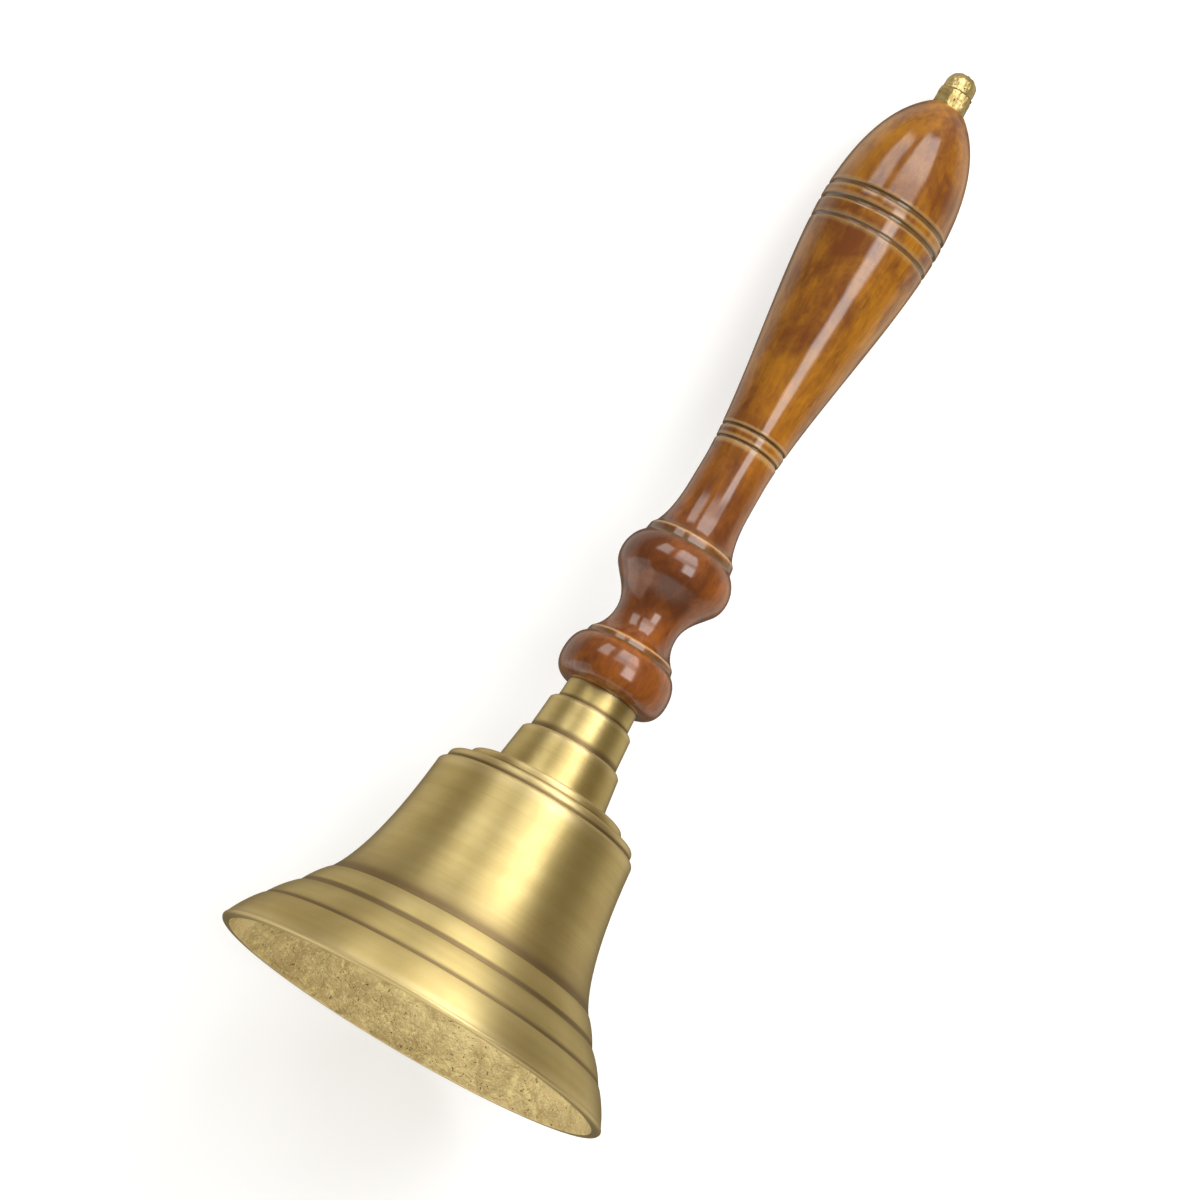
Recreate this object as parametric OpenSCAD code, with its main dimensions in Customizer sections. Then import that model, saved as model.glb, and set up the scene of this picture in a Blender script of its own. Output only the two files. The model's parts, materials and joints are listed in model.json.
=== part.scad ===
// Hand bell: cast brass bell and neck, turned wooden handle, one tie rod from
// the crown to the acorn nut, and a clapper that swings on a swivelling stirrup.
// The bell stands on its mouth: the origin is the centre of the mouth, +Z is
// the bell's axis, and every length is in millimetres.

/* [Bell] */
// Outer radius of the mouth
mouth_r = 51.3; // [50:0.1:53]
// Height of the bell's flat shoulder above the mouth
shoulder_z = 59.7; // [58:0.1:62]
// Outer radius of the bell's wall at the shoulder
shoulder_r = 26.5; // [26:0.1:27.5]
// Width of the flat lip that the bell stands on
lip_w = 1.5; // [0.8:0.1:1.8]
// Thickness of the wall, measured level
wall_t = 2.6; // [2.2:0.1:3]
// Radius of the lower crown step
step1_r = 25; // [23.5:0.1:25]
// Height of the lower crown step
step1_h = 2.6; // [2:0.1:4]
// Radius of the upper crown step
step2_r = 20.5; // [19:0.1:21.5]
// Height of the upper crown step
step2_h = 2.8; // [2:0.1:4]

/* [Neck] */
// Radius of the three neck tiers at the foot of each, lowest tier first
tier_foot_r = [14.7, 11.7, 9.5];
// Radius of the three neck tiers at the top of each, lowest tier first
tier_top_r = [13.2, 11, 9.2];
// Height of the three neck tiers, lowest tier first
tier_h = [11.4, 9.6, 5.4];
// Size of the rounded edge on top of a tier
tier_edge = 0.7; // [0.3:0.1:1]

/* [Handle] */
// Radius of the lower bead
bead1_r = 14.25; // [13.5:0.05:14.5]
// Radius of the cove between the beads
cove_r = 8.15; // [7.5:0.05:9]
// Radius of the upper bead
bead2_r = 14.45; // [13.5:0.05:15]
// Radius of the slender part above the beads
waist_r = 8.2; // [7.5:0.05:9]
// Radius of the thickest part of the grip
grip_r = 16.05; // [15:0.05:16.5]
// Radius of the bore that the tie rod passes through
handle_bore_r = 3; // [2.8:0.1:4]
// Width of the two fine grooves in the slender part
fine_groove_w = 0.8; // [0.5:0.1:1]
// Width of the three broad grooves round the grip
broad_groove_w = 1.6; // [1:0.1:2]

/* [Fasteners] */
// Radius of the M5 tie rod
rod_r = 2.5; // [2.4:0.05:2.6]
// Radius of the journal at the rod's lower end
journal_r = 2; // [1.9:0.05:2.2]
// Width across the flats of the M5 nuts
nut_af = 8; // [7.5:0.1:9]
// Height of the acorn nut
acorn_h = 10.3; // [10:0.1:12]
// Radius of the washer under the crown
washer_r = 7; // [6:0.5:9]

/* [Clapper] */
// Radius of the clapper's ball
ball_r = 9; // [7:0.5:10]
// Height of the ball's centre above the mouth, hanging at rest
ball_z = 21; // [19:0.5:23]
// Radius of the clapper's shank
shank_r = 2; // [1.8:0.1:2.2]
// Radius of the hinge pin
pin_r = 1.25; // [1:0.05:1.4]
// Radius of the barrel that turns on the pin
barrel_r = 3; // [2.6:0.1:3.2]
// Distance between the stirrup's ears
ear_gap = 9.2; // [8.8:0.1:10]
// Thickness of the stirrup's strap
strap_t = 1.4; // [1:0.1:1.6]
// Width of the stirrup's strap
strap_w = 7; // [6.5:0.5:8]

/* [Hidden] */
$fn = 96;
// Radial clearance of a running fit, and of a threaded or drilled fit in one body
running = 0.05;
snug = 0.02;
// Gap between faces that slide past each other
face_gap = 0.2;
cut = 1;

// Crown
crown_z = shoulder_z + step1_h + step2_h;
ceiling_z = shoulder_z + 0.5;
ceiling_edge = 7;
hole_r = rod_r + snug;

// Flare: three convex bands below the waist, each [foot radius, foot height]
lip_edge = 0.8;
band_top_r = [mouth_r - 5.2, mouth_r - 10.9, mouth_r - 15.5];
band_top_z = [9.2, 16.2, 22.6];
ledge = 0.4;
bulge = 0.58;

// Neck
tier_z = [crown_z, crown_z + tier_h[0], crown_z + tier_h[0] + tier_h[1]];
neck_top_z = tier_z[2] + tier_h[2];

// Handle, measured up from its foot on the neck
foot_z = neck_top_z;
foot_r = 10.2;
seat_r = 4.9;
handle_h = 169.8;
fine_groove_h = [69.6, 73];
fine_groove_r = [waist_r + 0.25, waist_r + 0.45];
broad_groove_h = [129.3, 134.5, 138.6];
groove_depth = 0.55;
handle_top_z = foot_z + handle_h;

// Acorn nut
acorn_hex_h = 5;
dome_r = 3.95;
dome_edge = 3.4;
acorn_bore_h = 7.4;
total_h = handle_top_z + acorn_h;

// Stack under the crown, from the ceiling down
washer_t = 1;
clamp_nut_h = 4;
lock_nut_h = 2.2;
m4_nut_af = 7;
nut_z = ceiling_z - washer_t - clamp_nut_h;
rod_foot_z = nut_z - 0.3;
strap_top_z = rod_foot_z - face_gap;
lock_nut_z = strap_top_z - strap_t - face_gap - lock_nut_h;
journal_end_z = lock_nut_z - 0.6;
pin_z = journal_end_z - 0.8 - barrel_r;
ear_r = strap_w / 2;
pin_head_r = 2;
pin_head_h = 0.8;
pin_half = ear_gap / 2 + strap_t;

// Clapper
barrel_l = ear_gap - 2 * 0.3;
ball_flat_r = 4.2;
ball_flat_h = sqrt(ball_r * ball_r - ball_flat_r * ball_flat_r);
collar_r = 3.4;
collar_h = 1.6;
shank_end_z = ball_z - ball_flat_h - lock_nut_h - 0.6;

// Points of a cubic curve, without its first point
function curve(a, b, c, d, n = 12) =
    [for (i = [1:n]) let (t = i / n, u = 1 - t)
        u * u * u * a + 3 * u * u * t * b + 3 * u * t * t * c + t * t * t * d];

// Points of an arc from angle a0 to a1 about a centre
function arc(centre, r, a0, a1, n = 10) =
    [for (i = [0:n]) let (a = a0 + (a1 - a0) * i / n) centre + r * [cos(a), sin(a)]];

// Points of a convex band that runs up and in from its foot, ledge included
function band(foot, top) =
    let (mid = [bulge * foot[0] + (1 - bulge) * top[0], (1 - bulge) * foot[1] + bulge * top[1]])
    concat([for (i = [1:8]) let (t = i / 8, u = 1 - t) u * u * foot + 2 * u * t * mid + t * t * top],
           [top + [-ledge, 0.2]]);

// A step's outline: up the side and over its rounded edge
function step(r, z, edge) = arc([r - edge, z - edge], edge, 0, 90, 6);

// Outline of the bell's outside, from the lip up to the neck's seat
function outer_line() =
    let (lip = [mouth_r - 0.3, lip_edge + 0.4],
         tops = [for (i = [0:2]) [band_top_r[i], band_top_z[i]]],
         waist = tops[2] + [-ledge, 0.2],
         top = [shoulder_r, shoulder_z - 1.6])
    concat(arc([mouth_r - lip_edge, lip_edge], lip_edge, -90, 20, 6), [lip],
           band(lip, tops[0]),
           band(tops[0] + [-ledge, 0.2], tops[1]),
           band(tops[1] + [-ledge, 0.2], tops[2]),
           curve(waist, waist + [-4.4, 6.4], [shoulder_r + 1.5, 42], top, 16),
           step(shoulder_r, shoulder_z, 1.4),
           [[step1_r, shoulder_z]],
           step(step1_r, shoulder_z + step1_h, 1.2),
           [[step2_r, shoulder_z + step1_h]],
           step(step2_r, crown_z, 1));

// Outline of the bell's inside, from the ceiling down to the lip
function inner_line() =
    let (lip = [mouth_r - lip_edge - lip_w, 0],
         bend = [band_top_r[2] - ledge - wall_t, band_top_z[2]],
         top = [shoulder_r + 0.1 - wall_t, ceiling_z - ceiling_edge])
    concat(arc([top[0] - ceiling_edge, top[1]], ceiling_edge, 90, 0),
           curve(top, [shoulder_r + 1.5 - wall_t, 42], bend + [-4.4, 6.4], bend, 14),
           curve(bend, bend + [4.9, -6.6], lip + [-1, 4.7], lip));

module ring_cut(r, z, w, depth) {
    rotate_extrude()
        polygon([[r + depth, z - w / 2 - depth / 2], [r + depth, z + w / 2 + depth / 2],
                 [r - depth, z + w / 4], [r - depth, z - w / 4]]);
}

module hex(af, h) {
    cylinder(h = h, r = af / 2 / cos(30), $fn = 6);
}

// Hex nut with its corners turned off, drilled for its thread
module hex_nut(af, h, bore_r) {
    bevel = 0.5;
    corner_r = af / 2 / cos(30);
    difference() {
        intersection() {
            hex(af, h);
            rotate_extrude()
                polygon([[0, 0], [corner_r - bevel, 0], [corner_r, bevel],
                         [corner_r, h - bevel], [corner_r - bevel, h], [0, h]]);
        }
        translate([0, 0, -cut]) cylinder(h = h + 2 * cut, r = bore_r);
    }
}

module bell_shell() {
    color("#b99a4e")
        rotate_extrude()
            polygon(concat([[hole_r, ceiling_z]], inner_line(), outer_line(), [[hole_r, crown_z]]));
}

module neck_collar() {
    tiers = [for (i = [0:2]) each concat([[tier_foot_r[i], tier_z[i]]],
                 i < 2 ? [[tier_top_r[i], tier_z[i + 1] - tier_edge], [tier_top_r[i] - tier_edge, tier_z[i + 1]]]
                       : [[tier_top_r[i], neck_top_z]])];
    color("#ab8c48")
        rotate_extrude()
            polygon(concat([[hole_r, crown_z]], tiers, [[hole_r, neck_top_z]]));
}

// Outline of the turned wood, heights measured from its foot
function handle_line() = [for (p = concat(
    [[foot_r, 0]],
    curve([foot_r, 0], [foot_r + 2.3, 0.1], [bead1_r, 2.1], [bead1_r, 5.6]),
    curve([bead1_r, 5.6], [bead1_r, 8.6], [bead1_r - 0.9, 10.8], [bead1_r - 2.3, 11.8]),
    [[bead1_r - 2.6, 12.1], [bead1_r - 3, 13.6]],
    curve([bead1_r - 3.4, 14], [bead1_r - 5, 15.6], [cove_r, 18], [cove_r, 20.8]),
    curve([cove_r, 20.8], [cove_r, 24.1], [cove_r + 1.7, 26.4], [cove_r + 3.9, 29]),
    curve([bead2_r - 2.1, 29.5], [bead2_r - 0.6, 30.9], [bead2_r, 32.6], [bead2_r, 34.6]),
    curve([bead2_r, 34.6], [bead2_r, 36.9], [bead2_r - 1, 39.1], [bead2_r - 2.4, 40.4]),
    [[bead2_r - 2.8, 41], [bead2_r - 3.1, 43]],
    curve([bead2_r - 3.7, 43.6], [bead2_r - 4.8, 45.4], [waist_r + 0.1, 49.6], [waist_r + 0.1, 57]),
    curve([waist_r, 62], [waist_r - 0.1, 82], [grip_r - 0.6, 112], [grip_r, 135.6], 24),
    curve([grip_r, 135.6], [grip_r, 148.5], [grip_r - 2.5, 162.2], [seat_r, handle_h], 18)))
    p + [0, foot_z]];

module handle() {
    color("#8a4a1c")
        difference() {
            rotate_extrude()
                polygon(concat([[handle_bore_r, foot_z]], handle_line(), [[handle_bore_r, handle_top_z]]));
            for (i = [0:1])
                ring_cut(fine_groove_r[i], foot_z + fine_groove_h[i], fine_groove_w, groove_depth);
            for (h = broad_groove_h)
                ring_cut(grip_r - 0.1, foot_z + h, broad_groove_w, groove_depth);
        }
}

module tie_rod() {
    color("#9a9588")
        union() {
            translate([0, 0, rod_foot_z]) cylinder(h = handle_top_z + acorn_bore_h - 0.4 - rod_foot_z, r = rod_r);
            translate([0, 0, journal_end_z]) cylinder(h = rod_foot_z + cut - journal_end_z, r = journal_r);
        }
}

module acorn_nut() {
    dome_z = handle_top_z + acorn_hex_h - cut;
    bore_end_z = handle_top_z + acorn_bore_h;
    color("#b08c45")
        union() {
            translate([0, 0, handle_top_z]) hex_nut(nut_af, acorn_hex_h, hole_r);
            rotate_extrude()
                polygon(concat([[hole_r, dome_z], [dome_r, dome_z]],
                               arc([dome_r - dome_edge, total_h - dome_edge], dome_edge, 0, 90),
                               [[0, total_h], [0, bore_end_z], [hole_r, bore_end_z]]));
        }
}

module crown_washer() {
    color("#b39a55")
        translate([0, 0, ceiling_z - washer_t])
            difference() {
                cylinder(h = washer_t, r = washer_r);
                translate([0, 0, -cut]) cylinder(h = washer_t + 2 * cut, r = hole_r);
            }
}

module clamp_nut() {
    color("#a8a294")
        translate([0, 0, nut_z]) hex_nut(nut_af, clamp_nut_h, hole_r);
}

module swivel_nut() {
    color("#a8a294")
        translate([0, 0, lock_nut_z]) hex_nut(m4_nut_af, lock_nut_h, journal_r + snug);
}

module ear(side) {
    translate([side * (ear_gap + strap_t) / 2, 0, 0])
        rotate([0, 90, 0])
            translate([0, 0, -strap_t / 2])
                union() {
                    translate([-pin_z, 0, 0]) cylinder(h = strap_t, r = ear_r);
                    translate([-strap_top_z, -strap_w / 2, 0]) cube([strap_top_z - pin_z, strap_w, strap_t]);
                }
}

module stirrup() {
    color("#b39a55")
        difference() {
            union() {
                translate([-pin_half, -strap_w / 2, strap_top_z - strap_t]) cube([2 * pin_half, strap_w, strap_t]);
                ear(-1);
                ear(1);
            }
            translate([0, 0, strap_top_z - strap_t - cut]) cylinder(h = strap_t + 2 * cut, r = journal_r + running);
            translate([-pin_half - cut, 0, pin_z])
                rotate([0, 90, 0]) cylinder(h = 2 * (pin_half + cut), r = pin_r + snug);
        }
}

module hinge_pin() {
    color("#a8a294")
        translate([0, 0, pin_z])
            rotate([0, 90, 0])
                union() {
                    translate([0, 0, -pin_half - pin_head_h]) cylinder(h = 2 * (pin_half + pin_head_h), r = pin_r);
                    translate([0, 0, -pin_half - pin_head_h]) cylinder(h = pin_head_h, r = pin_head_r);
                    translate([0, 0, pin_half]) cylinder(h = pin_head_h, r = pin_head_r);
                }
}

module clapper_rod() {
    color("#b39a55")
        difference() {
            union() {
                translate([-barrel_l / 2, 0, pin_z]) rotate([0, 90, 0]) cylinder(h = barrel_l, r = barrel_r);
                translate([0, 0, shank_end_z]) cylinder(h = pin_z - shank_end_z, r = shank_r);
                translate([0, 0, ball_z + ball_flat_h]) cylinder(h = collar_h, r = collar_r);
            }
            translate([-barrel_l, 0, pin_z]) rotate([0, 90, 0]) cylinder(h = 2 * barrel_l, r = pin_r + running);
        }
}

module clapper_ball() {
    color("#a98a48")
        translate([0, 0, ball_z])
            difference() {
                intersection() {
                    sphere(r = ball_r);
                    translate([0, 0, -ball_flat_h]) cylinder(h = 2 * ball_flat_h, r = ball_r + cut);
                }
                translate([0, 0, -ball_r - cut]) cylinder(h = 2 * (ball_r + cut), r = shank_r + snug);
            }
}

module clapper_nut() {
    color("#a8a294")
        translate([0, 0, ball_z - ball_flat_h - lock_nut_h]) hex_nut(m4_nut_af, lock_nut_h, shank_r + snug);
}

bell_shell();
neck_collar();
handle();
tie_rod();
acorn_nut();
crown_washer();
clamp_nut();
swivel_nut();
stirrup();
hinge_pin();
clapper_rod();
clapper_ball();
clapper_nut();
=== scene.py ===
"""Looks of the hand bell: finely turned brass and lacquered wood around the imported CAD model."""
import json
import math
from collections import defaultdict

import bpy
import numpy as np
from mathutils import Matrix, Vector, noise

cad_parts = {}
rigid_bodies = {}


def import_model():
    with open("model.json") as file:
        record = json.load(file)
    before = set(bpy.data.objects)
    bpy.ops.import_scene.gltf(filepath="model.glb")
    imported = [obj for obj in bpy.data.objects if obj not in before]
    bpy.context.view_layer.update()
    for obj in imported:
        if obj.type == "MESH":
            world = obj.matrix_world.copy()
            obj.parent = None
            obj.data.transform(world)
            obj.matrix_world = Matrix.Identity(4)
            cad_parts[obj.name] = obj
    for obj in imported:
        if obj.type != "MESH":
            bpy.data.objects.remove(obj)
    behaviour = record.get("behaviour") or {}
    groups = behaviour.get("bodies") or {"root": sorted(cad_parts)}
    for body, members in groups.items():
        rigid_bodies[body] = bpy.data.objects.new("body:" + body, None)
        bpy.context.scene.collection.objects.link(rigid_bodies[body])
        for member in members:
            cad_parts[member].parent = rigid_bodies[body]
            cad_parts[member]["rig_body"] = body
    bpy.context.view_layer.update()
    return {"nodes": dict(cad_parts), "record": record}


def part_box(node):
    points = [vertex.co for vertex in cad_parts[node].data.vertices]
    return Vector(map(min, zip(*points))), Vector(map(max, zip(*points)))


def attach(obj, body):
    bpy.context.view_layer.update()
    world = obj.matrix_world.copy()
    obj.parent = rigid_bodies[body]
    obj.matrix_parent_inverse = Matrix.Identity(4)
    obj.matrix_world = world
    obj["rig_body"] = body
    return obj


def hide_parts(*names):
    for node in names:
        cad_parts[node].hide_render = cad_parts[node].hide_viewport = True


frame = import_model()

MM = 0.001
nodes = frame["nodes"]
slots = {part["node"]: part["material_slot"] for part in frame["record"]["subparts"]}

# ---------------------------------------------------------------- places taken from the frame

bell_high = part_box("bell_shell")[1]
nut_low, nut_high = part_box("acorn_nut")
wood_low, wood_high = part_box("handle")
mouth_r = bell_high.x
crown_z = bell_high.z
grip_r = wood_high.x
total_h = nut_high.z

# ---------------------------------------------------------------- the main camera's place

# Azimuth round the bell, tilt of the bell's axis to the picture, and roll of the picture
CAMERA_AZIMUTH = math.radians(225)
CAMERA_TILT = math.radians(12.3)
CAMERA_ROLL = math.radians(30.5)
LENS_MM = 162
SENSOR_MM = 36
# It is this far in front of a point at this height on the axis, and this far to the left of it
CAMERA_DISTANCE = 1292.2 * MM
CAMERA_AIM_Z = 119.1 * MM
CAMERA_OFFSET = 14.36 * MM

# Level directions: from the bell towards the camera, and to the camera's right before the roll
toward = Vector((math.sin(CAMERA_AZIMUTH), -math.cos(CAMERA_AZIMUTH), 0))
sideways = Vector((-toward.y, toward.x, 0))


# ---------------------------------------------------------------- turned shapes

# Points of a section in the same or the next cell of this fine a grid are one point
CELLS_PER_MM = 50
# Step of the dense outlines that are worked on, in mm
STEP = 0.06
# A corner that the wear takes back by this many mm counts as fully worn, or fully dirty
CORNER_REACH = 0.12
# How far the final outline may be from the dense one, in mm
OUTLINE_TOLERANCE = 0.004

BELL_SEGMENTS = 256
FINE_SEGMENTS = 192


def section(name):
    """The closed outline that a turned CAD solid is revolved from, as (radius, height) points in mm."""
    mesh = nodes[name].data
    points = {}
    cell_of = []
    for v in mesh.vertices:
        point = (math.hypot(v.co.x, v.co.y) / MM, v.co.z / MM)
        cell = (round(point[0] * CELLS_PER_MM), round(point[1] * CELLS_PER_MM))
        near = [(cell[0] + i, cell[1] + j) for i in (0, -1, 1) for j in (0, -1, 1)]
        match = next((c for c in near if c in points), cell)
        points.setdefault(match, point)
        cell_of.append(match)
    joined = defaultdict(set)
    for edge in mesh.edges:
        a, b = (cell_of[i] for i in edge.vertices)
        if a != b:
            joined[a].add(b)
            joined[b].add(a)
    here = max(joined, key=lambda c: (c[0], -c[1]))
    line = []
    used = set()
    while here is not None:
        line.append(points[here])
        used.add(here)
        here = next((c for c in sorted(joined[here]) if c not in used), None)
    return np.array(line)


def resample(line, step):
    """Points every `step` along a closed line."""
    closed = np.vstack([line, line[:1]])
    run = np.concatenate([[0], np.cumsum(np.linalg.norm(np.diff(closed, axis=0), axis=1))])
    count = int(run[-1] / step)
    at = np.linspace(0, run[-1], count, endpoint=False)
    return np.stack([np.interp(at, run, closed[:, k]) for k in (0, 1)], axis=1)


def soften(line, step, sigma):
    """A closed line with its corners rounded by a Gaussian of that length."""
    reach = int(4 * sigma / step)
    weight = np.exp(-0.5 * (np.arange(-reach, reach + 1) * step / sigma) ** 2)
    weight /= weight.sum()
    wrapped = np.vstack([line[-reach:], line, line[:reach]])
    return np.stack([np.convolve(wrapped[:, k], weight, "valid") for k in (0, 1)], axis=1)


def thin(line, tolerance, longest):
    """Indices of the points that keep a dense line's shape, with no gap over `longest` points."""
    kept = [0]
    i = 0
    while i < len(line) - 1:
        j = i + 1
        while j + 1 < len(line) and j + 1 - i <= longest:
            chord = line[j + 1] - line[i]
            between = line[i + 1:j + 1] - line[i]
            off = np.abs(chord[0] * between[:, 1] - chord[1] * between[:, 0]) / np.linalg.norm(chord)
            if off.max() > tolerance:
                break
            j += 1
        kept.append(j)
        i = j
    return kept[:-1] if kept[-1] == len(line) - 1 else kept


def turned(name, segments, round_mm, wear_mm=0.7, longest_mm=2.0):
    """A fine turned mesh of a CAD node, with its corners eased, carrying these point values:
    edge and crease (0 to 1, how sharply it turns out or in) and run (mm along the outline).
    It comes with its outline, and the outline's normals."""
    dense = resample(section(name), STEP)
    fine = soften(dense, STEP, round_mm)
    coarse = soften(dense, STEP, wear_mm)
    around = np.sum(fine[:, 0] * np.roll(fine[:, 1], -1) - np.roll(fine[:, 0], -1) * fine[:, 1])
    ahead = np.roll(fine, -1, axis=0) - np.roll(fine, 1, axis=0)
    normal = np.stack([ahead[:, 1], -ahead[:, 0]], axis=1) * np.sign(around)
    normal /= np.linalg.norm(normal, axis=1)[:, None]
    bend = np.sum((fine - coarse) * normal, axis=1) / CORNER_REACH
    kept = thin(fine, OUTLINE_TOLERANCE, int(longest_mm / STEP))
    line, normal, bend = fine[kept], normal[kept], bend[kept]
    run = np.array(kept) * STEP
    count = len(line)
    angle = np.arange(segments) * 2 * math.pi / segments
    points = np.stack([np.outer(np.cos(angle), line[:, 0]), np.outer(np.sin(angle), line[:, 0]),
                       np.tile(line[:, 1], (segments, 1))], axis=2).reshape(-1, 3) * MM
    faces = []
    for s in range(segments):
        a, b = s * count, (s + 1) % segments * count
        for i in range(count):
            j = (i + 1) % count
            faces.append((a + i, b + i, b + j, a + j) if around > 0 else (a + i, a + j, b + j, b + i))
    mesh = bpy.data.meshes.new(name + "_turned")
    mesh.from_pydata(points.tolist(), [], faces)
    mesh.shade_smooth()
    for key, value in (("edge", np.clip(bend, 0, 1)), ("crease", np.clip(-bend, 0, 1)), ("run", run)):
        values = np.tile(value, segments).astype(np.float32)
        mesh.attributes.new(key, "FLOAT", "POINT").data.foreach_set("value", values)
    piece = bpy.data.objects.new(name + "_turned", mesh)
    bpy.context.scene.collection.objects.link(piece)
    return piece, line, normal


def stand_in(piece, name):
    """The piece takes the place of a CAD node on that node's body."""
    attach(piece, nodes[name]["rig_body"])
    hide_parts(name)


# ---------------------------------------------------------------- the cast nut

# Its heights and radii in mm, apart from those that come from the CAD node's box
HEX_H = 5.0
HEX_BEVEL = 0.55
DOME_R = 3.95
DOME_ROUND = 3.4
DOME_FILLET = 0.35
# The higher the power, the sharper the hexagon's corners
HEX_POWER = 24
# Lumps of the casting: how close together, and how large a part of the radius
LUMP_FREQUENCY = 0.9
LUMP_SIZE = 0.022
# The lowest part stays flat on the wood, in mm
FLAT_FOOT = 0.2


def nut_outline(corner, flat, height):
    """Points up the nut's outline in mm: radius, height, and whether the radius follows the hexagon."""
    dome_z = height - DOME_ROUND
    line = [(0, 0, False), (flat * 0.6, 0, False), (corner - 2 * HEX_BEVEL, 0, True)]
    for t in np.linspace(0, 1, 5):
        line.append((corner - HEX_BEVEL * (1 - t), HEX_BEVEL * t, True))
    for z in np.linspace(HEX_BEVEL, HEX_H - HEX_BEVEL, 14)[1:]:
        line.append((corner, z, True))
    for t in np.linspace(0, 1, 5)[1:]:
        line.append((corner - HEX_BEVEL * t, HEX_H - HEX_BEVEL * (1 - t), True))
    for a in np.linspace(0, math.pi / 2, 6):
        radius = DOME_R + DOME_FILLET * (1 - math.sin(a))
        line.append((radius, HEX_H + DOME_FILLET * (1 - math.cos(a)), False))
    for z in np.linspace(HEX_H + DOME_FILLET, dome_z, 6)[1:]:
        line.append((DOME_R, z, False))
    for a in np.linspace(0, math.pi / 2, 22)[1:]:
        radius = DOME_R - DOME_ROUND + DOME_ROUND * math.cos(a)
        line.append((radius, dome_z + DOME_ROUND * math.sin(a), False))
    line.append((0, height, False))
    return line


def acorn_nut():
    """The cast hex nut with its domed cap, slightly lumpy, as rings whose radius follows the hexagon."""
    flat = nut_high.y / MM
    outline = nut_outline(nut_high.x / MM, flat, (nut_high.z - nut_low.z) / MM)
    points = []
    for s in range(FINE_SEGMENTS):
        a = 2 * math.pi * s / FINE_SEGMENTS
        side = flat / math.cos(a % (math.pi / 3) - math.pi / 6)
        for r, z, is_hex in outline:
            limit = (r ** -HEX_POWER + side ** -HEX_POWER) ** (-1 / HEX_POWER) if is_hex else r
            p = Vector((limit * math.cos(a), limit * math.sin(a), z))
            lump = noise.fractal(p * LUMP_FREQUENCY + Vector((3, 7, 1)), 1.0, 2.0, 3)
            p *= 1 - LUMP_SIZE * (0.4 + lump) * (z > FLAT_FOOT)
            points.append((p + Vector((0, 0, nut_low.z / MM))) * MM)
    count = len(outline)
    faces = []
    for s in range(FINE_SEGMENTS):
        a, b = s * count, (s + 1) % FINE_SEGMENTS * count
        faces += [(a + i, b + i, b + i + 1, a + i + 1) for i in range(count - 1)]
    mesh = bpy.data.meshes.new("acorn_nut_cast")
    mesh.from_pydata(points, [], faces)
    mesh.validate()
    piece = bpy.data.objects.new("acorn_nut_cast", mesh)
    bpy.context.scene.collection.objects.link(piece)
    weld = piece.modifiers.new("weld", "WELD")
    weld.merge_threshold = 1e-6
    mesh.shade_smooth()
    return piece


# ---------------------------------------------------------------- material helpers

class Nodes:
    """Short calls that add nodes to a node tree, each returning its output."""

    def __init__(self, tree):
        self.tree = tree

    def node(self, kind, **settings):
        made = self.tree.nodes.new(kind)
        for key, value in settings.items():
            setattr(made, key, value)
        return made

    def join(self, source, target):
        """A number or tuple is set on the socket, and an output is linked to it."""
        if isinstance(source, (int, float)):
            target.default_value = source
        elif isinstance(source, tuple):
            target.default_value = source if len(source) == len(target.default_value) else (*source, 1)
        else:
            self.tree.links.new(source, target)

    def math(self, operation, a, b=0.0):
        made = self.node("ShaderNodeMath", operation=operation)
        self.join(a, made.inputs[0])
        self.join(b, made.inputs[1])
        return made.outputs[0]

    def scaled(self, vector, by):
        made = self.node("ShaderNodeVectorMath", operation="MULTIPLY")
        self.join(vector, made.inputs[0])
        self.join(by, made.inputs[1])
        return made.outputs[0]

    def noise(self, vector, scale, detail=3.0, rough=0.5, twist=0.0):
        made = self.node("ShaderNodeTexNoise", normalize=True)
        self.join(vector, made.inputs["Vector"])
        made.inputs["Scale"].default_value = scale
        made.inputs["Detail"].default_value = detail
        made.inputs["Roughness"].default_value = rough
        made.inputs["Distortion"].default_value = twist
        return made.outputs["Fac"]

    def fit(self, source, low, high, out_low=0.0, out_high=1.0):
        """The source from low to high, eased onto out_low to out_high."""
        limits = {"From Min": low, "From Max": high, "To Min": out_low, "To Max": out_high}
        made = self.node("ShaderNodeMapRange", interpolation_type="SMOOTHSTEP")
        self.join(source, made.inputs["Value"])
        for key, value in limits.items():
            made.inputs[key].default_value = value
        return made.outputs["Result"]

    def mix(self, amount, a, b, how="MIX"):
        made = self.node("ShaderNodeMix", data_type="RGBA", blend_type=how)
        self.join(amount, made.inputs["Factor"])
        self.join(a, made.inputs["A"])
        self.join(b, made.inputs["B"])
        return made.outputs["Result"]


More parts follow.
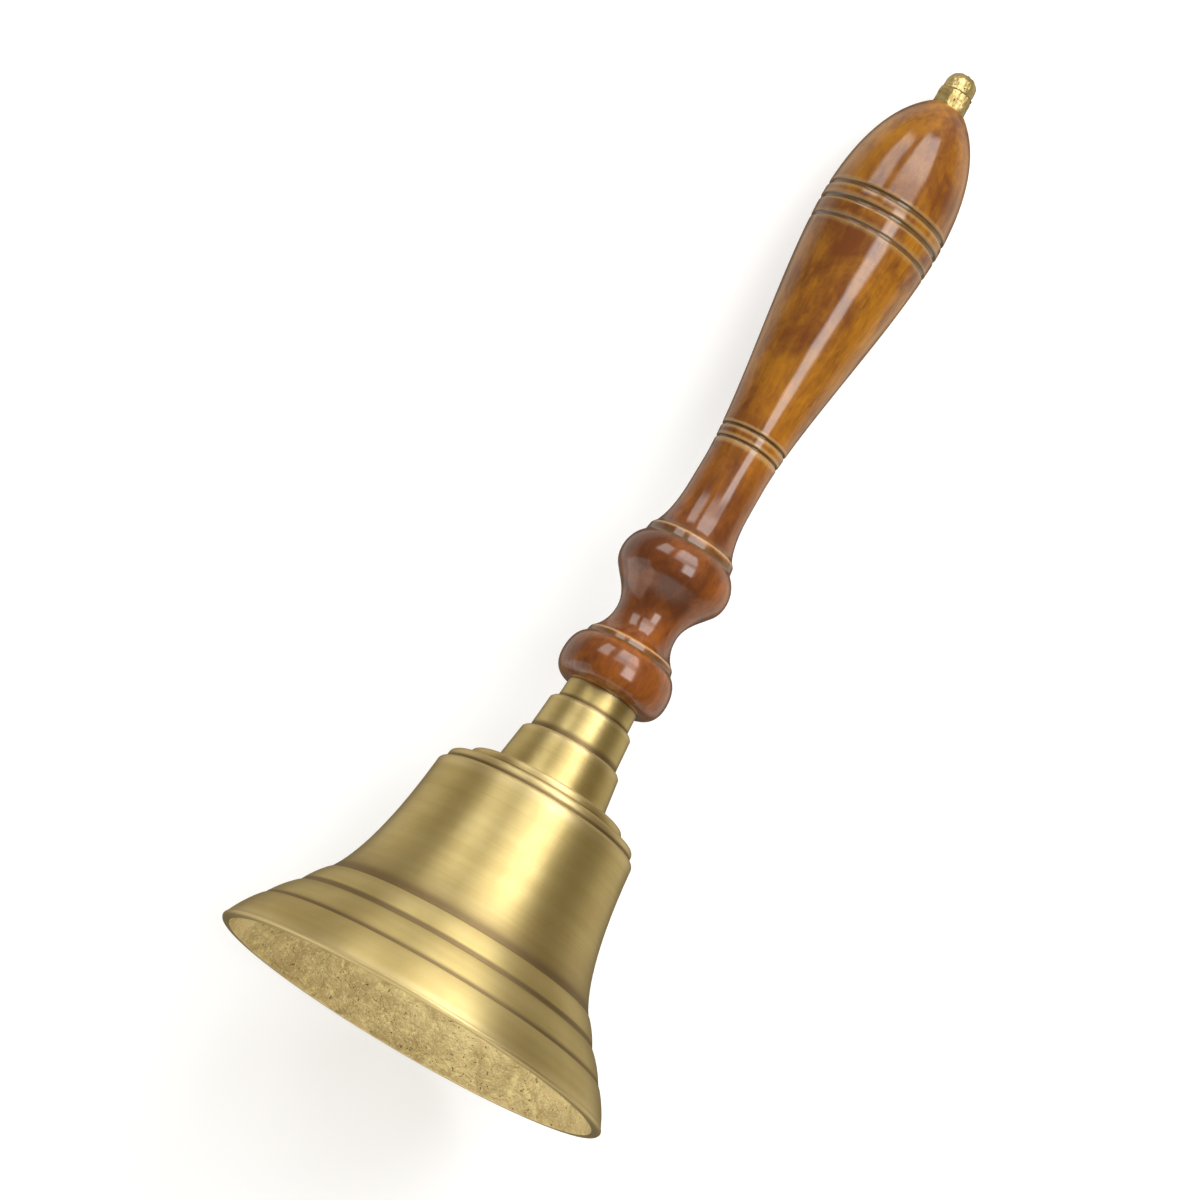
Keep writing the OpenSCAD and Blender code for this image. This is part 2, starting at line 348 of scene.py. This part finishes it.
class Paint(Nodes):
    """A material around the Principled shader."""

    def __init__(self, name):
        self.material = bpy.data.materials.new(name)
        self.material.use_nodes = True
        super().__init__(self.material.node_tree)
        self.shader = self.tree.nodes["Principled BSDF"]

    def value(self, name):
        """One of the point values that a turned mesh carries."""
        return self.node("ShaderNodeAttribute", attribute_name=name).outputs["Fac"]

    def place(self):
        return self.node("ShaderNodeTexCoord").outputs["Object"]

    def bump(self, height, distance):
        made = self.node("ShaderNodeBump")
        made.inputs["Strength"].default_value = 1.0
        made.inputs["Distance"].default_value = distance
        self.join(height, made.inputs["Height"])
        return made.outputs["Normal"]

    def turning(self, around, along):
        """Coordinates that run round the axis slowly and along the outline fast, for turning marks."""
        flat = self.scaled(self.place(), (1, 1, 0))
        unit = self.node("ShaderNodeVectorMath", operation="NORMALIZE")
        self.join(flat, unit.inputs[0])
        part = self.node("ShaderNodeSeparateXYZ")
        self.join(unit.outputs[0], part.inputs[0])
        made = self.node("ShaderNodeCombineXYZ")
        self.join(self.math("MULTIPLY", part.outputs["X"], around), made.inputs["X"])
        self.join(self.math("MULTIPLY", part.outputs["Y"], around), made.inputs["Y"])
        self.join(self.math("MULTIPLY", self.value("run"), along), made.inputs["Z"])
        return made.outputs[0]

    def set(self, **sockets):
        for key, value in sockets.items():
            self.join(value, self.shader.inputs[key.replace("_", " ")])


# ---------------------------------------------------------------- the materials

# Dark brown in the pits of cast brass
PIT_BROWN = (0.13, 0.08, 0.03)


def satin_brass():
    """Brass turned on a lathe and left satin: fine rings, warm tarnish, painted shade in the creases, and
    bright edges.
    """
    tarnished = (0.50, 0.385, 0.150)
    clean = (0.64, 0.53, 0.245)
    # Painted shade: the brown-violet that the creases are darkened to
    crease_shade = (0.20, 0.13, 0.075)
    rubbed = (0.80, 0.66, 0.38)
    m = Paint("satin_brass")
    marks = m.noise(m.turning(0.6, 6.0), 1.0, 4.0, 0.6)
    lines = m.noise(m.turning(1.5, 26.0), 1.0, 2.0, 0.5)
    cloud = m.noise(m.place(), 42.0, 4.0, 0.55, 0.4)
    haze = m.noise(m.turning(1.2, 0.35), 1.0, 3.0, 0.5)
    tone = m.math("ADD", m.math("MULTIPLY", marks, 0.22), m.math("MULTIPLY", cloud, 0.56))
    tone = m.math("ADD", tone, m.math("MULTIPLY", haze, 0.22))
    # Painted shade: the mask that darkens the creases
    crease = m.fit(m.math("ADD", m.value("crease"), m.math("MULTIPLY", cloud, 0.12)), 0.06, 0.80)
    edge = m.fit(m.value("edge"), 0.15, 0.9)
    colour = m.mix(m.fit(tone, 0.32, 0.70), tarnished, clean)
    # Painted shade in the creases
    colour = m.mix(m.math("MULTIPLY", crease, 0.75), colour, crease_shade)
    colour = m.mix(m.math("MULTIPLY", edge, 0.35), colour, rubbed)
    rough = m.math("ADD", m.fit(tone, 0.3, 0.8, 0.50, 0.42), m.math("MULTIPLY", crease, 0.15))
    relief = m.math("ADD", m.math("MULTIPLY", lines, 0.5), marks)
    tangent = m.node("ShaderNodeTangent", direction_type="RADIAL", axis="Z")
    m.set(Base_Color=colour, Metallic=1.0, Roughness=rough, Normal=m.bump(relief, 0.03 * MM),
          Tangent=tangent.outputs[0], Anisotropic=0.75, Anisotropic_Rotation=0.25,
          Specular_Tint=(1.0, 0.97, 0.9))
    return m.material


def rough_casting():
    """The unturned inside of the bell: sandy cast brass with pits and brown stains, painted highlights on
    the raised lumps and painted glints on the grains.
    """
    sand = (0.82, 0.67, 0.35)
    stain = (0.56, 0.43, 0.20)
    # Painted highlight: the lighter colour on the raised lumps
    lump_highlight = (0.96, 0.84, 0.40)
    # Painted glints: the near-white colour on the fine grains
    grain_glints = (1.0, 0.95, 0.58)
    m = Paint("rough_casting")
    place = m.place()
    grain = m.noise(place, 1300.0, 4.0, 0.7)
    lumps = m.noise(place, 300.0, 5.0, 0.66, 0.3)
    stains = m.noise(place, 75.0, 5.0, 0.62, 0.8)
    pits = m.fit(m.noise(place, 900.0, 2.0, 0.5), 0.66, 0.76)
    colour = m.mix(m.fit(stains, 0.35, 0.68), sand, stain)
    # Painted highlight on the raised lumps
    colour = m.mix(m.fit(lumps, 0.45, 0.75, 0.0, 0.8), colour, lump_highlight)
    # Painted glints on the grains
    colour = m.mix(m.fit(grain, 0.50, 0.74, 0.0, 0.8), colour, grain_glints)
    colour = m.mix(m.math("MULTIPLY", pits, 0.65), colour, PIT_BROWN)
    relief = m.math("ADD", m.math("MULTIPLY", grain, 0.35), lumps)
    relief = m.math("SUBTRACT", relief, m.math("MULTIPLY", pits, 0.8))
    m.set(Base_Color=colour, Metallic=0.72, Roughness=m.fit(lumps, 0.3, 0.7, 0.62, 0.45),
          Normal=m.bump(relief, 0.8 * MM))
    return m.material


def lacquered_wood():
    """Turned hardwood under glossy lacquer: amber with red-brown blotches, dark at the grooves."""
    m = Paint("lacquered_wood")
    place = m.place()
    height = m.node("ShaderNodeSeparateXYZ")
    m.join(place, height.inputs[0])
    # 0 at the beads and 1 on the grip, which is lighter and yellower
    up = m.fit(height.outputs["Z"], wood_low.z + 30 * MM, wood_low.z + 100 * MM)
    amber = m.mix(up, (0.26, 0.070, 0.005), (0.34, 0.135, 0.005))
    brown = m.mix(up, (0.085, 0.018, 0.002), (0.12, 0.030, 0.002))
    pale = m.mix(up, (0.56, 0.38, 0.17), (0.30, 0.19, 0.07))
    gold = (0.48, 0.24, 0.018)
    dark_fibre = (0.10, 0.035, 0.010)
    dark_fleck = (0.06, 0.018, 0.006)
    # The colour that the grooves are darkened to
    groove_dark = (0.085, 0.050, 0.018)
    blotch = m.noise(m.scaled(place, (1, 1, 0.75)), 85.0, 5.0, 0.62, 0.5)
    cloud = m.noise(m.scaled(place, (1, 1, 0.5)), 24.0, 2.0, 0.5, 0.3)
    fibre = m.noise(m.scaled(place, (1, 1, 0.045)), 1400.0, 3.0, 0.6)
    figure = m.noise(m.scaled(place, (1, 1, 0.22)), 420.0, 4.0, 0.6, 0.5)
    figure = m.math("SUBTRACT", figure, 0.5)
    flecks = m.fit(m.noise(m.scaled(place, (1, 1, 0.16)), 700.0, 2.0, 0.5, 1.2), 0.66, 0.74)
    tone = m.math("ADD", m.math("MULTIPLY", blotch, 0.55), m.math("MULTIPLY", cloud, 0.45))
    tone = m.math("ADD", tone, m.math("MULTIPLY", figure, 0.22))
    crease = m.fit(m.value("crease"), 0.10, 0.60)
    worn = m.math("ADD", m.value("edge"), m.math("MULTIPLY", figure, 0.5))
    colour = m.mix(m.fit(tone, 0.36, 0.60), brown, amber)
    colour = m.mix(m.fit(tone, 0.54, 0.74, 0.0, 0.6), colour, gold)
    colour = m.mix(m.fit(fibre, 0.30, 0.75, 0.30, 0.0), colour, dark_fibre)
    colour = m.mix(m.math("MULTIPLY", flecks, 0.45), colour, dark_fleck)
    # Darker in the grooves
    colour = m.mix(m.math("MULTIPLY", crease, 0.82), colour, groove_dark)
    colour = m.mix(m.fit(worn, 0.25, 0.80, 0.0, 0.55), colour, pale)
    ripple = m.bump(m.noise(m.scaled(place, (1, 1, 0.35)), 190.0, 3.0, 0.5), 0.12 * MM)
    lacquer = m.bump(m.noise(m.scaled(place, (1, 1, 0.5)), 90.0, 2.0, 0.5), 0.25 * MM)
    m.set(Base_Color=colour, Roughness=m.fit(tone, 0.3, 0.7, 0.50, 0.36), Normal=ripple,
          Specular_IOR_Level=0.12, Coat_Weight=1.0, Coat_Roughness=0.09, Coat_IOR=1.5,
          Coat_Normal=lacquer)
    return m.material


def cast_brass():
    """Yellow cast brass with a soft, slightly pitted skin."""
    dull = (0.36, 0.27, 0.10)
    yellow = (0.64, 0.51, 0.24)
    m = Paint("cast_brass")
    place = m.place()
    cloud = m.noise(place, 260.0, 4.0, 0.6, 0.5)
    grain = m.noise(place, 1800.0, 3.0, 0.6)
    pits = m.fit(m.noise(place, 900.0, 2.0, 0.5), 0.66, 0.74)
    colour = m.mix(m.fit(cloud, 0.36, 0.66), dull, yellow)
    colour = m.mix(m.math("MULTIPLY", pits, 0.6), colour, PIT_BROWN)
    relief = m.math("SUBTRACT", m.math("ADD", cloud, m.math("MULTIPLY", grain, 0.2)), pits)
    m.set(Base_Color=colour, Metallic=1.0, Roughness=m.fit(cloud, 0.3, 0.7, 0.55, 0.38),
          Normal=m.bump(relief, 0.22 * MM))
    return m.material


def zinc_steel():
    """Zinc-plated steel, cool grey with a faint mottled bloom and turning scratches."""
    m = Paint("zinc_steel")
    place = m.place()
    bloom = m.noise(place, 380.0, 4.0, 0.6, 0.4)
    scratch = m.noise(m.scaled(place, (0.15, 0.15, 1)), 2600.0, 2.0, 0.5)
    colour = m.mix(m.fit(bloom, 0.35, 0.65), (0.46, 0.45, 0.42), (0.66, 0.65, 0.61))
    m.set(Base_Color=colour, Metallic=1.0, Roughness=m.fit(bloom, 0.3, 0.7, 0.42, 0.30),
          Normal=m.bump(m.math("ADD", bloom, scratch), 0.03 * MM))
    return m.material


# ---------------------------------------------------------------- the pieces

finish = {"satin_brass": satin_brass(), "lacquered_wood": lacquered_wood(),
          "cast_brass": cast_brass(), "zinc_steel": zinc_steel()}


def as_cast(line, normal):
    """Which points of the bell's outline are on its unturned inside: those that face the axis, and
    those clear of the lip that face down, below the edge of the crown's hole."""
    clear_of_lip = line[:, 1] > 3
    below_hole = line[:, 1] < crown_z / MM - 1
    faces_axis = normal[:, 0] < -0.2
    faces_down = normal[:, 1] < -0.3
    return (faces_axis | (faces_down & clear_of_lip)) & below_hole


def bell():
    """The shell: turned outside, as cast inside."""
    piece, line, normal = turned("bell_shell", BELL_SEGMENTS, 0.16, 1.5)
    inside = as_cast(line, normal)
    slot_index = np.tile((inside & np.roll(inside, -1)).astype(np.int32), BELL_SEGMENTS)
    piece.data.materials.append(finish["satin_brass"])
    piece.data.materials.append(rough_casting())
    piece.data.polygons.foreach_set("material_index", slot_index)
    return piece


stand_in(bell(), "bell_shell")

neck = turned("neck_collar", FINE_SEGMENTS, 0.14)[0]
neck.data.materials.append(finish["satin_brass"])
stand_in(neck, "neck_collar")

wood = turned("handle", FINE_SEGMENTS, 0.14, 0.6)[0]
wood.data.materials.append(finish["lacquered_wood"])
stand_in(wood, "handle")

nut = acorn_nut()
nut.data.materials.append(finish["cast_brass"])
stand_in(nut, "acorn_nut")

for name, slot in slots.items():
    if not nodes[name].hide_render:
        nodes[name].data.materials.clear()
        nodes[name].data.materials.append(finish[slot])


# ---------------------------------------------------------------- camera

def camera():
    """Long lens, looking up the bell's axis a little, rolled so that the nut is at the upper right."""
    data = bpy.data.cameras.new("camera")
    data.lens = LENS_MM
    data.sensor_width = SENSOR_MM
    back = toward * math.cos(CAMERA_TILT) - Vector((0, 0, math.sin(CAMERA_TILT)))
    axis_up = back.cross(sideways)
    right = sideways * math.cos(CAMERA_ROLL) + axis_up * math.sin(CAMERA_ROLL)
    up = back.cross(right)
    turn = Matrix((right, up, back)).transposed().to_4x4()
    place = Vector((0, 0, CAMERA_AIM_Z)) - right * CAMERA_OFFSET + back * CAMERA_DISTANCE
    made = bpy.data.objects.new("camera", data)
    made.matrix_world = Matrix.Translation(place) @ turn
    bpy.context.scene.collection.objects.link(made)
    bpy.context.scene.camera = made


camera()


# ---------------------------------------------------------------- floor and backdrop

FLOOR_GAP = 0.2 * MM
FLOOR_HALF = 4.0
BACKDROP_GAP = 0.4 * MM
BACKDROP_HALF = 0.45
# The middle of the backdrop is this far up it from the lip
BACKDROP_RISE = 0.12
# The widest part of the grip is about this far below the top of the wood
GRIP_DROP = 35 * MM


def stage_material(name, albedo, glow):
    """Matte pale paper that shows on its front only, so that a camera behind it sees past it."""
    m = Paint(name)
    paper = (albedo, albedo, albedo)
    shade = (albedo * 0.985, albedo * 0.985, albedo * 0.985)
    m.set(Base_Color=m.mix(m.noise(m.place(), 6.0, 3.0), paper, shade), Roughness=0.9,
          Specular_IOR_Level=0.0, Emission_Color=(1.0, 1.0, 1.0, 1.0), Emission_Strength=glow)
    clear = m.node("ShaderNodeBsdfTransparent")
    side = m.node("ShaderNodeNewGeometry")
    both = m.node("ShaderNodeMixShader")
    m.join(side.outputs["Backfacing"], both.inputs["Fac"])
    m.join(m.shader.outputs[0], both.inputs[1])
    m.join(clear.outputs[0], both.inputs[2])
    m.join(both.outputs[0], m.tree.nodes["Material Output"].inputs["Surface"])
    return m.material


def sheet(name, centre, across, along, material):
    """A flat rectangle that only the camera sees; its front is on the side of across x along."""
    corners = [centre + across * i + along * j for i, j in ((-1, -1), (1, -1), (1, 1), (-1, 1))]
    mesh = bpy.data.meshes.new(name)
    mesh.from_pydata(corners, [], [(0, 1, 2, 3)])
    mesh.materials.append(material)
    made = bpy.data.objects.new(name, mesh)
    bpy.context.scene.collection.objects.link(made)
    for ray in ("diffuse", "glossy", "transmission", "volume_scatter", "shadow"):
        setattr(made, "visible_" + ray, False)


def backdrop():
    """A sheet behind the bell, leaning so that it all but touches the lip and the widest grip."""
    lean = toward * (mouth_r - grip_r) + Vector((0, 0, wood_high.z - GRIP_DROP))
    lean.normalize()
    middle = -toward * (mouth_r + BACKDROP_GAP) + lean * BACKDROP_RISE
    sheet("backdrop", middle, sideways * BACKDROP_HALF, lean * BACKDROP_HALF,
          stage_material("backdrop_paper", 0.42, 0.62))


sheet("floor", Vector((0, 0, -FLOOR_GAP)), Vector((FLOOR_HALF, 0, 0)), Vector((0, FLOOR_HALF, 0)),
      stage_material("floor_paper", 0.80, 0.10))
backdrop()


# ---------------------------------------------------------------- light

# The soft strips, in degrees from the camera's side: azimuth from and to, elevation from and to, power
STRIPS = ((-60, -32, 20, 50, 3.8), (-19, 30, 19, 32, 2.9), (-19, 32, 32, 60, 5.0),
          (7, 30, -9, 19, 6.6), (-130, -60, -62, -20, 0.8))
STRIP_SOFTNESS = 4.0


def world():
    """A studio that only the object sees: soft strips over a dim front, bright sides, and a dark rear."""
    front = (0.27, 0.225, 0.155, 1.0)
    sides = (0.78, 0.73, 0.64, 1.0)
    rear = (0.16, 0.14, 0.11, 1.0)
    overhead = (0.62, 0.57, 0.51, 1.0)
    under = (2.0, 1.95, 1.8, 1.0)
    made = bpy.data.worlds.new("studio")
    bpy.context.scene.world = made
    made.use_nodes = True
    m = Nodes(made.node_tree)
    m.tree.nodes.clear()
    way = m.node("ShaderNodeTexCoord").outputs["Generated"]

    def along(direction):
        dot = m.node("ShaderNodeVectorMath", operation="DOT_PRODUCT")
        m.join(way, dot.inputs[0])
        dot.inputs[1].default_value = direction
        return dot.outputs["Value"]

    def pulse(source, start, end):
        rise = m.fit(source, start - STRIP_SOFTNESS, start + STRIP_SOFTNESS)
        fall = m.fit(source, end - STRIP_SOFTNESS, end + STRIP_SOFTNESS, 1.0, 0.0)
        return m.math("MULTIPLY", rise, fall)

    azimuth = m.math("DEGREES", m.math("ARCTAN2", along(sideways), along(toward)))
    height = m.math("DEGREES", m.math("ARCSINE", along(Vector((0, 0, 1)))))
    turn = m.math("ABSOLUTE", azimuth)
    strips = 0.0
    for start, end, low, high, power in STRIPS:
        shape = m.math("MULTIPLY", pulse(azimuth, start, end), pulse(height, low, high))
        strips = m.math("ADD", strips, m.math("MULTIPLY", shape, power))
    base = m.mix(m.fit(turn, 84.0, 108.0), front, sides)
    base = m.mix(m.fit(turn, 138.0, 156.0), base, rear)
    base = m.mix(m.fit(height, 48.0, 80.0), base, overhead)
    base = m.mix(m.fit(height, -80.0, -42.0, 1.0, 0.0), base, under)
    lit = m.mix(1.0, base, strips, "ADD")
    camera_ray = m.node("ShaderNodeLightPath").outputs["Is Camera Ray"]
    sky = m.node("ShaderNodeBackground")
    m.join(m.mix(camera_ray, lit, (1.0, 1.0, 1.0, 1.0)), sky.inputs["Color"])
    m.join(sky.outputs[0], m.node("ShaderNodeOutputWorld").inputs["Surface"])


def softbox(name, azimuth, elevation, distance, side, power):
    """A square soft light that lights matte surfaces and casts the shadow, without showing in the gloss."""
    data = bpy.data.lights.new(name, "AREA")
    data.shape = "SQUARE"
    data.size = side
    data.energy = power
    a = math.radians(azimuth)
    e = math.radians(elevation)
    level = toward * math.cos(a) + sideways * math.sin(a)
    way = level * math.cos(e) + Vector((0, 0, math.sin(e)))
    made = bpy.data.objects.new(name, data)
    made.location = Vector((0, 0, total_h / 2)) + way * distance
    made.rotation_mode = "QUATERNION"
    made.rotation_quaternion = way.to_track_quat("Z", "Y")
    made.visible_camera = False
    made.visible_glossy = False
    bpy.context.scene.collection.objects.link(made)


world()
softbox("key_light", azimuth=42, elevation=30, distance=1.3, side=0.5, power=9)

bpy.context.scene.view_settings.view_transform = "Standard"
